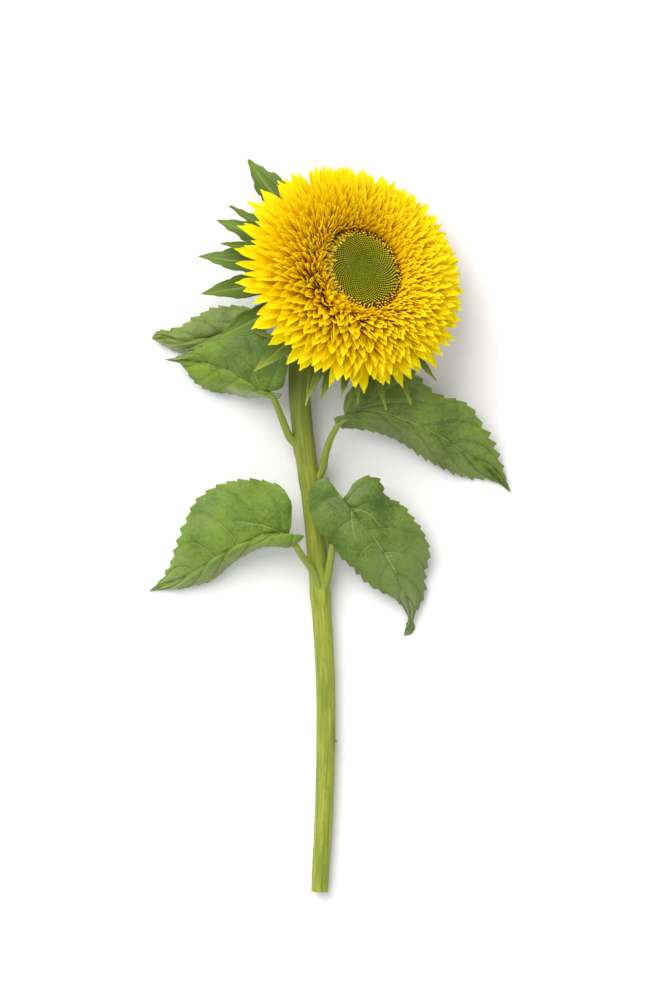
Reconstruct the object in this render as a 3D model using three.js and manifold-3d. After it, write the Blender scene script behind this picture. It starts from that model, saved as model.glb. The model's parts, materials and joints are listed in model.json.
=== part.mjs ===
// A cut, double-flowered sunflower lying on a flat surface: a stem with five leaves, and a nodding
// head whose florets fill everything but a green eye of unopened buds. Millimetres, +Z up. The stem
// lies along Y with its cut end towards -Y, and the origin is under the middle of the whole flower.
import * as THREE from "three";
import { mergeVertices } from "three/addons/utils/BufferGeometryUtils.js";
import Module from "manifold-3d";

const wasm = await Module();
wasm.setup();

// ---------------------------------------------------------------- driving dimensions
const seatGap = 0.45; // clear space where one piece sits against another
const stemLength = 330; // along Y, from the cut end to the back of the head
const stemRadius = 5.1; // at the cut end
const neckRadius = 6.3; // where the stem meets the head
const petioleRadius = 2.1;
const leafThickness = 0.8;
const leafScale = 1; // of all five leaves together, along the surface
const headTilt = 32; // degrees between the head's axis and straight up
const headHeading = 38; // degrees from +X towards +Y, the way the head leans
const eyeHeight = 3.4; // how far the dome of unopened buds stands off the receptacle
const shoulderRing = 24; // radius of the circle that the receptacle's rounded edge is turned about
const shoulderRadius = 10; // of that rounded edge in section, which the florets stand on
const receptacleDepth = 25; // from its face to the stem
const floretThickness = 0.7;
const bractThickness = 0.8;

const stemSides = 12;
const turnSteps = 36; // facets round the turned pieces

// ---------------------------------------------------------------- small helpers
const radians = THREE.MathUtils.degToRad;
const lerp = THREE.MathUtils.lerp;
const curveThrough = (points) => new THREE.CatmullRomCurve3(points, false, "centripetal");

function material(colour, roughness) {
  return new THREE.MeshStandardMaterial({ color: colour, roughness, metalness: 0 });
}

const materials = {
  stem: material(0x9db246, 0.55),
  leaf: material(0x4d7a2c, 0.6),
  bract: material(0x5f8b34, 0.6),
  receptacle: material(0x6c8f3a, 0.65),
  buds: material(0x7c8c2a, 0.7),
  floret: material(0xf7ce0a, 0.6),
};

// A closed skin over a row of rings that all have the same number of points. Each ring runs
// anticlockwise as seen by someone looking back down the row. A closed row joins its last ring to
// its first, and an open one is capped, each cap pairing the ring's first points with its last.
function skin(rings, closed = false) {
  const size = rings[0].length;
  const corners = rings.flat().flatMap((p) => [p.x, p.y, p.z]);
  const faces = [];
  const at = (ring, i) => (ring % rings.length) * size + (i % size);
  for (let ring = 0; ring < rings.length - (closed ? 0 : 1); ring++) {
    for (let i = 0; i < size; i++) {
      const [a, b, c, d] = [at(ring, i), at(ring, i + 1), at(ring + 1, i + 1), at(ring + 1, i)];
      faces.push(a, b, c, a, c, d);
    }
  }
  const last = rings.length - 1;
  for (let i = 0; i < size / 2 - 1 && !closed; i++) {
    const [a, b, c, d] = [i, i + 1, size - 2 - i, size - 1 - i];
    faces.push(at(0, a), at(0, c), at(0, b), at(0, a), at(0, d), at(0, c));
    faces.push(at(last, a), at(last, b), at(last, c), at(last, a), at(last, c), at(last, d));
  }
  const geometry = new THREE.BufferGeometry();
  geometry.setAttribute("position", new THREE.Float32BufferAttribute(corners, 3));
  geometry.setIndex(faces);
  return geometry;
}

function solidFrom(geometry) {
  const bare = geometry.clone();
  bare.deleteAttribute("normal");
  bare.deleteAttribute("uv");
  const merged = mergeVertices(bare, 1e-4);
  const mesh = new wasm.Mesh({
    numProp: 3,
    vertProperties: merged.getAttribute("position").array,
    triVerts: new Uint32Array(merged.index.array),
  });
  return new wasm.Manifold(mesh);
}

function geometryFrom(solid) {
  const mesh = solid.getMesh();
  const geometry = new THREE.BufferGeometry();
  geometry.setAttribute("position", new THREE.BufferAttribute(mesh.vertProperties, 3));
  geometry.setIndex(new THREE.BufferAttribute(mesh.triVerts, 1));
  return geometry;
}

// A round, tapering rod along a curve. radiusAt gives its radius for a share of the length.
function rod(curve, radiusAt, steps, sides) {
  const frames = curve.computeFrenetFrames(steps, false);
  const rings = [];
  for (let step = 0; step <= steps; step++) {
    const share = step / steps;
    const centre = curve.getPointAt(share);
    const ring = [];
    for (let i = 0; i < sides; i++) {
      const turn = (2 * Math.PI * i) / sides;
      ring.push(
        centre
          .clone()
          .addScaledVector(frames.normals[step], radiusAt(share) * Math.cos(turn))
          .addScaledVector(frames.binormals[step], radiusAt(share) * Math.sin(turn)),
      );
    }
    rings.push(ring);
  }
  return skin(rings);
}

function addPiece(group, name, geometry, look) {
  const mesh = new THREE.Mesh(geometry, look);
  mesh.name = name;
  group.add(mesh);
}

const numbered = (stem, index) => `${stem}_${String(index + 1).padStart(2, "0")}`;

// ---------------------------------------------------------------- head
// Pieces of the head are modelled about its own axis, +Z, with the receptacle's face at zero. A
// place on its rounded edge is given by slope, the angle between the axis and the way out.
function shoulder(slope, off = 0) {
  const reach = shoulderRadius + off;
  return {
    r: shoulderRing + reach * Math.sin(slope),
    h: -shoulderRadius + reach * Math.cos(slope),
  };
}

const backSlope = radians(128); // where the rounded edge runs into the receptacle's back
const collarRadius = neckRadius + 1.2;

function makeReceptacle() {
  const profile = [
    new THREE.Vector2(0, -receptacleDepth),
    new THREE.Vector2(collarRadius, -receptacleDepth),
  ];
  const shoulderSteps = 8;
  for (let i = 0; i <= shoulderSteps; i++) {
    const { r, h } = shoulder(lerp(backSlope, 0, i / shoulderSteps));
    profile.push(new THREE.Vector2(r, h));
  }
  profile.push(new THREE.Vector2(0, 0));
  const turned = new THREE.LatheGeometry(profile, turnSteps);
  return turned.rotateX(Math.PI / 2);
}

// The eye: unopened buds packed into one low dome with a shallow dip in its middle, with a margin
// round it for the innermost florets.
const eyeRadius = shoulderRing - 3.6;

function makeEye() {
  const profile = [new THREE.Vector2(0, seatGap), new THREE.Vector2(eyeRadius, seatGap)];
  profile.push(new THREE.Vector2(eyeRadius, eyeHeight * 0.62));
  profile.push(new THREE.Vector2(eyeRadius * 0.8, eyeHeight * 0.95));
  profile.push(new THREE.Vector2(eyeRadius * 0.5, eyeHeight));
  profile.push(new THREE.Vector2(0, eyeHeight * 0.8));
  const turned = new THREE.LatheGeometry(profile, turnSteps);
  return turned.rotateX(Math.PI / 2);
}

// A place off the head's axis: radius, sideways offset and height, turned to an azimuth.
function about(azimuth, r, side, h) {
  const [c, s] = [Math.cos(azimuth), Math.sin(azimuth)];
  return new THREE.Vector3(r * c - side * s, r * s + side * c, h);
}

// The midline of a floret or bract in the plane through the head's axis: it leaves the rounded edge
// square to it, and its slope changes evenly to slopeEnd.
function midline(slope, slopeEnd, length, share) {
  const steps = 12;
  let { r, h } = shoulder(slope, seatGap);
  for (let i = 0; i < steps; i++) {
    const here = lerp(slope, slopeEnd, (share * (i + 0.5)) / steps);
    r += (length * share * Math.sin(here)) / steps;
    h += (length * share * Math.cos(here)) / steps;
  }
  return { r, h, slope: lerp(slope, slopeEnd, share) };
}

// A single strap, such as a ray floret or a bract: a thin boat-shaped blade.
function makeStrap({ azimuth, slope, slopeEnd, length, width, cup, sweep, thickness, widths }) {
  const rings = [];
  widths.forEach(([share, part]) => {
    const { r, h, slope: here } = midline(slope, slopeEnd, length, share);
    const side = length * Math.tan(sweep) * share * share;
    const half = (width * part) / 2;
    const facing = (side, lift) =>
      about(azimuth, r - lift * Math.cos(here), side, h + lift * Math.sin(here));
    const rise = cup * part;
    const top = [
      facing(side + half, rise + thickness / 2),
      facing(side, thickness / 2),
      facing(side - half, rise + thickness / 2),
    ];
    const under = [
      facing(side - half, rise - thickness / 2),
      facing(side, -thickness / 2),
      facing(side + half, rise - thickness / 2),
    ];
    rings.push([...top, ...under]);
  });
  return skin(rings);
}

// ---------------------------------------------------------------- ray florets
const rayCount = 21;
const ray = {
  slope: radians(94.5),
  slopeEnd: radians(94.5),
  length: 32.5,
  width: 8.4,
  cup: 0.5,
  sweep: 0,
  thickness: floretThickness,
  widths: [[0, 0.55], [0.35, 1], [0.72, 0.86], [1, 0.06]],
};

// ---------------------------------------------------------------- floret whorls
// Inside the rays the florets stand in whorls, each joined round its foot into one crown. The
// innermost whorl is short and leans over the eye, and the outermost lies nearly flat.
const whorlCount = 9;
const innerWhorl = { slope: -10, slopeEnd: 6, length: 7, florets: 18 };
const outerWhorl = { slope: 83, slopeEnd: 89, length: 30.5, florets: 30 };
const notchDepth = 0.4; // share of a floret's length that stands free of its neighbours

function makeWhorl(rank) {
  const share = rank / (whorlCount - 1);
  const slope = radians(lerp(innerWhorl.slope, outerWhorl.slope, share));
  const slopeEnd = radians(lerp(innerWhorl.slopeEnd, outerWhorl.slopeEnd, share));
  const length = lerp(innerWhorl.length, outerWhorl.length, Math.pow(share, 0.8));
  const florets = Math.round(lerp(innerWhorl.florets, outerWhorl.florets, share));
  const columns = florets * 2;
  const half = floretThickness / 2;
  const rings = [];
  for (let column = 0; column < columns; column++) {
    const azimuth = (2 * Math.PI * (column + (rank % 2))) / columns + rank * 0.37;
    const reach = column % 2 ? 1 - notchDepth : 1;
    const side = (sign) => (part) => {
      const { r, h, slope: here } = midline(slope, slopeEnd, length, part * reach);
      const off = sign * half * (part === 1 && reach === 1 ? 0.4 : 1);
      return about(azimuth, r - off * Math.cos(here), 0, h + off * Math.sin(here));
    };
    rings.push([...[0, 0.5, 1].map(side(1)), ...[1, 0.5, 0].map(side(-1))]);
  }
  return skin(rings, true);
}

// ---------------------------------------------------------------- bracts
// Each green bract: azimuth in degrees, row (0 next to the rays, 1 behind), length, width, how far
// its tip bends back (degrees past the slope it starts with) and how far it sweeps round (degrees).
const bracts = [
  [98, 1, 33, 11, -6, 0],
  [119, 0, 53, 16, 5, 3],
  [141, 0, 41, 7, 6, -3],
  [149, 1, 46, 13, 0, -2],
  [161, 0, 37, 7, 8, 4],
  [168, 1, 49, 13, 4, -3],
  [186, 0, 47, 11, 6, 0],
  [204, 0, 50, 11, 8, 2],
  [226, 0, 42, 12, 6, -3],
  [247, 0, 42, 9, 2, 6],
  [259, 1, 35, 10, 0, 0],
  [267, 0, 31, 8, 0, -3],
  [279, 1, 35, 9, 0, 0],
  [287, 0, 38, 8, 0, 3],
  [303, 0, 42, 8, 0, -3],
  [318, 0, 40, 9, -2, 0],
  [335, 1, 36, 11, -12, 0],
  [356, 1, 34, 11, -12, 0],
  [22, 0, 31, 11, -12, 0],
  [48, 0, 31, 11, -12, 0],
  [76, 0, 33, 11, -8, 0],
];
const bractRows = [radians(109), radians(121)];
const bractShape = {
  cup: 1.1,
  thickness: bractThickness,
  widths: [[0, 0.7], [0.22, 1], [0.5, 0.8], [0.78, 0.26], [1, 0.05]],
};

function makeBract([azimuth, row, length, width, bend, sweep]) {
  const slope = bractRows[row];
  return makeStrap({
    azimuth: radians(azimuth),
    slope,
    slopeEnd: slope + radians(bend),
    length,
    width,
    sweep: radians(sweep),
    ...bractShape,
  });
}

// ---------------------------------------------------------------- the head put together
const headAxis = new THREE.Vector3(
  Math.sin(radians(headTilt)) * Math.cos(radians(headHeading)),
  Math.sin(radians(headTilt)) * Math.sin(radians(headHeading)),
  Math.cos(radians(headTilt)),
);
const head = new THREE.Group();
head.quaternion.setFromUnitVectors(new THREE.Vector3(0, 0, 1), headAxis);
addPiece(head, "receptacle", makeReceptacle(), materials.receptacle);
addPiece(head, "eye_of_buds", makeEye(), materials.buds);
for (let rank = 0; rank < whorlCount; rank++) {
  addPiece(head, numbered("floret_whorl", rank), makeWhorl(rank), materials.floret);
}
for (let i = 0; i < rayCount; i++) {
  const azimuth = (2 * Math.PI * i) / rayCount;
  addPiece(head, numbered("ray_floret", i), makeStrap({ ...ray, azimuth }), materials.floret);
}
bracts.forEach((bract, i) => {
  addPiece(head, numbered("bract", i), makeBract(bract), materials.bract);
});

// The head lies with its lowest tip on the surface, and the stem runs into its back.
const neckOffset = 11; // sideways offset where the stem meets the head
const stemEnd = new THREE.Vector3(neckOffset, stemLength, 0);
const headSeat = headAxis.clone().multiplyScalar(receptacleDepth + seatGap);
stemEnd.z = -new THREE.Box3().setFromObject(head, true).min.z - headSeat.z;
head.position.copy(stemEnd).add(headSeat);

// ---------------------------------------------------------------- stem
// Sideways offset, share of the stem's length, and how far the centreline lies above where it would
// if the stem touched the surface there.
const stemRoute = [
  [0, 0, 0.1],
  [3, 0.166, 0.2],
  [3.7, 0.272, 0.5],
  [3, 0.378, 1],
  [0.4, 0.5, 2.1],
  [-4.2, 0.656, 3.9],
  [-8.8, 0.755, 5.4],
  [-11, 0.864, 7.6],
  [-6.5, 0.94, 10.9],
];
const neckReach = 9; // length over which the neck already runs along the head's axis

const stemCurve = curveThrough([
  ...stemRoute.map(
    ([x, share, lift]) => new THREE.Vector3(x, share * stemLength, stemRadius + lift),
  ),
  stemEnd.clone().addScaledVector(headAxis, -neckReach),
  stemEnd,
]);
const stemSteps = 42;
const stemRadiusAt = (extra) => (share) => {
  const swell = 0.35 * Math.sin(Math.PI * share);
  return lerp(stemRadius, neckRadius, share) - swell + extra;
};

// Scars of fallen leaves and buds: share of the stem's length, side of the stem, size.
const stemScars = [
  { along: 0.235, side: 1, radius: 1.9 },
  { along: 0.415, side: -1, radius: 1.2 },
];

function makeStem() {
  let stem = solidFrom(rod(stemCurve, stemRadiusAt(0), stemSteps, stemSides));
  for (const scar of stemScars) {
    const centre = stemCurve.getPointAt(scar.along);
    const knob = new THREE.SphereGeometry(scar.radius, 8, 6);
    knob.scale(1, 1.6, 1);
    knob.translate(centre.x + scar.side * stemRadius, centre.y, centre.z);
    stem = stem.add(solidFrom(knob));
  }
  return geometryFrom(stem);
}

const stemClearance = solidFrom(rod(stemCurve, stemRadiusAt(seatGap), stemSteps, stemSides));

// ---------------------------------------------------------------- leaves
// node is the share of the stem's length where the leaf grows. Every point is measured from the
// stem's centreline there: the petiole's route, the midrib, and the blade's two margins, which both
// run from the base round a lobe to the tip. crown lifts each half between midrib and margin.
const leaves = {
  leaf_lower_left: {
    node: 0.4745,
    crown: [3, 2],
    petiole: [
      [0, 0.7, 3], [-2.1, 7.8, 4.5], [-5.6, 15.4, 7.5], [-10.4, 22, 11], [-15, 29, 13.6],
      [-22, 33.6, 14.6],
    ],
    midrib: [
      [-17, 33.2, 15], [-27.2, 34, 16], [-40.3, 29.4, 15], [-56.5, 20.9, 10.5],
      [-70.4, 11.6, 4.5], [-83, 6.1, -1.5], [-94.5, 1.8, -6.3],
    ],
    leftMargin: [
      [-17, 32.6, 15], [-8.4, 32.6, 20], [-16, 26.4, 14], [-24.5, 26.3, 9], [-33, 25.4, 5],
      [-44.7, 19.5, 1.5], [-54, 12, -1], [-63.3, 5.9, -3.5], [-72, 4, -4.8], [-82, 2.9, -5.8],
      [-94.5, 1.8, -6.3],
    ],
    rightMargin: [
      [-17, 33.6, 15], [-15.5, 41, 18], [-15.7, 52, 20], [-21, 59.5, 20], [-28.5, 62.1, 19.5],
      [-40.3, 63.8, 18], [-54, 60.6, 15], [-66.5, 53, 11], [-73, 42, 8], [-77, 31, 5],
      [-81, 19.5, 1], [-85.5, 10, -3], [-94.5, 1.8, -6.3],
    ],
  },
  leaf_lower_right: {
    node: 0.4745,
    crown: [2, 2.5],
    petiole: [
      [2, 1, 2], [4.5, 13, 5], [6.5, 27, 9], [8, 40, 13], [10, 48, 15], [15, 46.5, 16],
    ],
    midrib: [
      [9.2, 50.4, 16], [14.6, 47.5, 17], [22.4, 40.7, 17], [30.2, 30, 15], [38, 18.3, 11],
      [44, 7, 6.5], [48.7, -5, 1.5], [50.5, -13, -2.5], [46.8, -21.2, -6.5],
    ],
    leftMargin: [
      [9.6, 50.6, 16], [13, 53.5, 17], [18, 61.5, 17], [25.3, 65.6, 15], [32, 63.5, 13],
      [36, 54.4, 11.5], [44, 50.3, 9], [50.5, 42.5, 7.5], [57, 33, 5], [59.5, 24, 2.5],
      [57.5, 13, 0], [57.5, 2, -2.5], [54, -9, -4.5], [51.3, -15.5, -5.5], [46.8, -21.2, -6.5],
    ],
    rightMargin: [
      [8.8, 50.3, 16], [5, 57, 18], [3, 64.3, 19], [-4, 61.5, 19], [-7, 53, 18], [-5, 43, 16],
      [1, 32, 13.5], [9.7, 22.6, 10.5], [17, 15.5, 8], [26, 6.5, 4.5], [38.9, -0.5, 1],
      [45, -6.2, -1], [48.6, -13, -3.5], [46.8, -21.2, -6.5],
    ],
  },
  leaf_upper_left: {
    node: 0.715,
    crown: [2, 3],
    petiole: [
      [-3.5, -1, 2], [-8, 4.5, 4], [-12, 14, 7.5], [-14.8, 21, 10], [-18, 27, 12],
      [-25, 30, 13],
    ],
    midrib: [
      [-18.1, 29, 13.5], [-25, 30, 14.5], [-31, 34, 14.5], [-37, 38, 13.5], [-42.5, 40.7, 12],
      [-50, 43, 9.5], [-58, 45.3, 6], [-65, 46.6, 2.5], [-76.3, 46.8, -2.5],
    ],
    leftMargin: [
      [-17.5, 28.6, 13.5], [-12, 27.5, 13], [-14.5, 24.8, 9], [-22, 25, 5], [-33, 26.2, 1],
      [-41, 27.6, -1.5], [-53.4, 29.8, -3.8], [-60, 34.5, -3.8], [-65, 41, -3.4],
      [-69, 45, -3], [-76.3, 46.8, -2.7],
    ],
    rightMargin: [
      [-17.5, 29.4, 13.5], [-12, 31, 15], [-9.2, 37.5, 19], [-9, 44, 21], [-12.5, 51, 22],
      [-20, 56.5, 21], [-28, 59, 19.5], [-38, 60, 17], [-48, 57.5, 14], [-57.5, 53, 9],
      [-65, 49.6, 4], [-76.3, 46.8, -2.3],
    ],
  },
  leaf_upper_right: {
    node: 0.662,
    crown: [2.5, 2],
    petiole: [
      [4.3, -2, 1.5], [7.5, 5, 3], [8.5, 11, 5], [10.3, 17.5, 8], [13, 24, 10.5],
      [17, 30, 12.4], [24, 34.6, 13.6],
    ],
    midrib: [
      [19.7, 33.2, 13.8], [29, 36.6, 15.5], [38, 36, 16], [49.6, 32.5, 14.5], [62.2, 27.7, 11],
      [73.3, 21.8, 7], [85, 14.1, 2.5], [97, 6, -3], [111, -8.2, -8.4],
    ],
    leftMargin: [
      [19.7, 33.6, 13.8], [18.5, 39, 14.5], [20.5, 46, 13.5], [26, 53, 12], [34, 58, 10],
      [45, 60.5, 8], [57, 58, 6.5], [63.5, 51, 6.5], [71, 45.5, 6.5], [81, 43, 6],
      [89, 38, 5], [94.5, 29, 3], [100, 20.5, 0], [104.3, 9.5, -3.8], [111, -8.1, -8.4],
    ],
    rightMargin: [
      [19.5, 32.8, 13.8], [14, 33, 16], [14.2, 29.8, 13], [18, 27.2, 10], [24, 26.8, 8],
      [34.5, 25.5, 6], [49, 20, 3.5], [61.5, 11.7, 0.5], [76, 4, -3.5], [89.5, -0.3, -6.2],
      [98, -0.3, -7.4], [104.5, -2.8, -8], [111, -8.1, -8.4],
    ],
  },
  leaf_topmost: {
    node: 0.87,
    crown: [1.5, 2],
    petiole: [
      [-3, -1, 0], [-7, 2, 0.5], [-14, 4.8, 0], [-26, 9, -0.5],
    ],
    midrib: [
      [-19.4, 8.9, 0.5], [-29, 9.6, 0], [-37, 9, -1], [-50.6, 6.2, -3.5], [-64.2, 4, -5],
      [-75, 6, -8.5], [-82.3, 5.6, -9.6],
    ],
    leftMargin: [
      [-19.4, 8.4, 0.5], [-22, 2, -1.5], [-34, -1, -3.5], [-50.6, -2, -6.5], [-61.5, -2.4, -8],
      [-70.5, -1, -10.7], [-77.2, 3, -10.6], [-82.3, 5.4, -9.8],
    ],
    rightMargin: [
      [-19.4, 9.2, 0.5], [-17.5, 15, 2], [-24, 21, 2], [-35.9, 23.2, 0.5], [-46, 22.8, -2],
      [-55.5, 18.9, -6.5], [-64, 14, -9], [-71, 10.5, -9.4], [-79.2, 9.8, -9],
      [-82.3, 5.8, -9.4],
    ],
  },
};
const bladeSteps = 15; // rings along a blade
const halfBlade = [1, 0.5]; // where a blade's ring has points, as shares from midrib to margin
const bladeEnds = 0.012; // how far short of base and tip the first and last rings stand

function makeBlade(leaf, placed) {
  const midrib = curveThrough(leaf.midrib.map(placed));
  const margins = [leaf.leftMargin, leaf.rightMargin].map((m) => curveThrough(m.map(placed)));
  const rings = [];
  for (let step = 0; step <= bladeSteps; step++) {
    const share = lerp(bladeEnds, 1 - bladeEnds, step / bladeSteps);
    const centre = midrib.getPointAt(share);
    const [left, right] = margins.map((margin) => margin.getPointAt(share));
    const forward = midrib.getTangentAt(share);
    const upwards = forward.clone().cross(left.clone().sub(right)).normalize();
    const fullness = 4 * share * (1 - share);
    const across = (margin, lift) => (v) =>
      centre
        .clone()
        .lerp(margin, v)
        .addScaledVector(upwards, lift * fullness * 4 * v * (1 - v));
    const line = [
      ...halfBlade.map(across(left, leaf.crown[0])),
      centre,
      ...[...halfBlade].reverse().map(across(right, leaf.crown[1])),
    ];
    const top = line.map((p) => p.clone().addScaledVector(upwards, leafThickness / 2));
    const under = line.map((p) => p.clone().addScaledVector(upwards, -leafThickness / 2));
    rings.push([...top, ...under.reverse()]);
  }
  return skin(rings);
}

function makeLeaf(leaf) {
  const node = stemCurve.getPointAt(leaf.node);
  const placed = ([x, y, z]) => new THREE.Vector3(x * leafScale, y * leafScale, z).add(node);
  const petioleRadiusAt = (share) => petioleRadius * (1.15 - 0.55 * share);
  const petiole = rod(curveThrough(leaf.petiole.map(placed)), petioleRadiusAt, 9, 8);
  const blade = solidFrom(makeBlade(leaf, placed));
  return geometryFrom(blade.add(solidFrom(petiole)).subtract(stemClearance));
}

// ---------------------------------------------------------------- assembly
const sunflower = new THREE.Group();
sunflower.add(head);
addPiece(sunflower, "stem", makeStem(), materials.stem);
for (const [name, leaf] of Object.entries(leaves)) {
  addPiece(sunflower, name, makeLeaf(leaf), materials.leaf);
}

// The flower is centred over the origin, with its lowest point on the surface.
const extent = new THREE.Box3().setFromObject(sunflower, true);
const middle = extent.getCenter(new THREE.Vector3());
sunflower.position.set(-middle.x, -middle.y, -extent.min.z);

export default sunflower;
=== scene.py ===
# A cut, double-flowered sunflower lying on a pale surface. Sizes are in millimetres and are scaled
# to metres when a piece is put in place.
import json
import random
from math import atan2, cos, exp, hypot, pi, radians, sin, sqrt, tan

import bmesh
import bpy
from mathutils import Matrix, Vector, noise

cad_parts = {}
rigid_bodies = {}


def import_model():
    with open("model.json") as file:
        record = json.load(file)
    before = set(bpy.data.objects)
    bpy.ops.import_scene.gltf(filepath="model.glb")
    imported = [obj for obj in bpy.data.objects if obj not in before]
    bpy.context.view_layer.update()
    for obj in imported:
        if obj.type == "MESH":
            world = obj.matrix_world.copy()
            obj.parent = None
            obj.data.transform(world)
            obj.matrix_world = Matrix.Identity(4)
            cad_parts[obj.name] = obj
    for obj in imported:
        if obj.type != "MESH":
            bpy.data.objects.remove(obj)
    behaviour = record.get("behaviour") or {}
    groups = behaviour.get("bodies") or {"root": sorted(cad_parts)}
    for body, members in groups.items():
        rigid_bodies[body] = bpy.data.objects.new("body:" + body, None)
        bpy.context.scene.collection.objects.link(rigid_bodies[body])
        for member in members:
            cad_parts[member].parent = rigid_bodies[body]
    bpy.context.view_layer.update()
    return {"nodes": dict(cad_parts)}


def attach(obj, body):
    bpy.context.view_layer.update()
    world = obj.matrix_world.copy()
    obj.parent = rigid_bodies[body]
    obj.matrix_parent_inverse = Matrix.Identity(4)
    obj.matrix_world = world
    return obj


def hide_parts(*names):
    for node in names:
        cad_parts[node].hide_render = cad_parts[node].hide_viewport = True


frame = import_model()
scene = bpy.context.scene
nodes = frame["nodes"]
mm = 0.001
print("frame loaded with", len(nodes), "nodes")


# small helpers

def lerp(a, b, share):
    return a + (b - a) * share


def clamp(value, low=0.0, high=1.0):
    return max(low, min(high, value))


def between(value, low, high):
    # smooth step from 0 at low to 1 at high
    share = clamp((value - low) / (high - low))
    return share * share * (3 - 2 * share)


def along(profile, share):
    # value of a row of (share, value) points, joined smoothly
    for (a, low), (b, high) in zip(profile, profile[1:]):
        if share <= b:
            return lerp(low, high, between(share, a, b))
    return profile[-1][1]


def bell(distance, width):
    return exp(-((distance / width) ** 2))


def ripple(point, size, seed=0.0):
    # soft noise from -1 to 1, with lumps of about the given size
    return noise.noise(Vector(point) / size + Vector((seed, seed * 0.7, -seed)))


def endOf(node, direction, depth=0.8 * mm):
    # middle of the flat end of a frame node that lies furthest along a direction
    corners = [v.co for v in nodes[node].data.vertices]
    furthest = max(c.dot(direction) for c in corners) - depth
    ring = [c for c in corners if c.dot(direction) > furthest]
    return Vector([(min(c[i] for c in ring) + max(c[i] for c in ring)) / 2 for i in range(3)])


class Route:
    # a smooth curve through given points, read by share of its length
    def __init__(self, points, steps=16):
        dots = [Vector(p) for p in points]
        dots = [2 * dots[0] - dots[1], *dots, 2 * dots[-1] - dots[-2]]
        self.line = [dots[1]]
        for a, b, c, d in zip(dots, dots[1:], dots[2:], dots[3:]):
            before, here, after = [sqrt((q - p).length) for p, q in ((a, b), (b, c), (c, d))]
            leave = ((b - a) / before - (c - a) / (before + here) + (c - b) / here) * here
            arrive = ((c - b) / here - (d - b) / (here + after) + (d - c) / after) * here
            for i in range(1, steps + 1):
                t = i / steps
                square = (3 * (c - b) - 2 * leave - arrive) * t * t
                cube = (2 * (b - c) + leave + arrive) * t ** 3
                self.line.append(b + leave * t + square + cube)
        self.reach = [0.0]
        for p, q in zip(self.line, self.line[1:]):
            self.reach.append(self.reach[-1] + (q - p).length)
        self.length = self.reach[-1]

    def at(self, share):
        want = clamp(share) * self.length
        low, high = 0, len(self.reach) - 1
        while high - low > 1:
            middle = (low + high) // 2
            if self.reach[middle] <= want:
                low = middle
            else:
                high = middle
        gap = self.reach[high] - self.reach[low]
        return self.line[low].lerp(self.line[high], (want - self.reach[low]) / gap)

    def heading(self, share):
        step = 0.004
        return (self.at(share + step) - self.at(share - step)).normalized()


# materials

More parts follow.
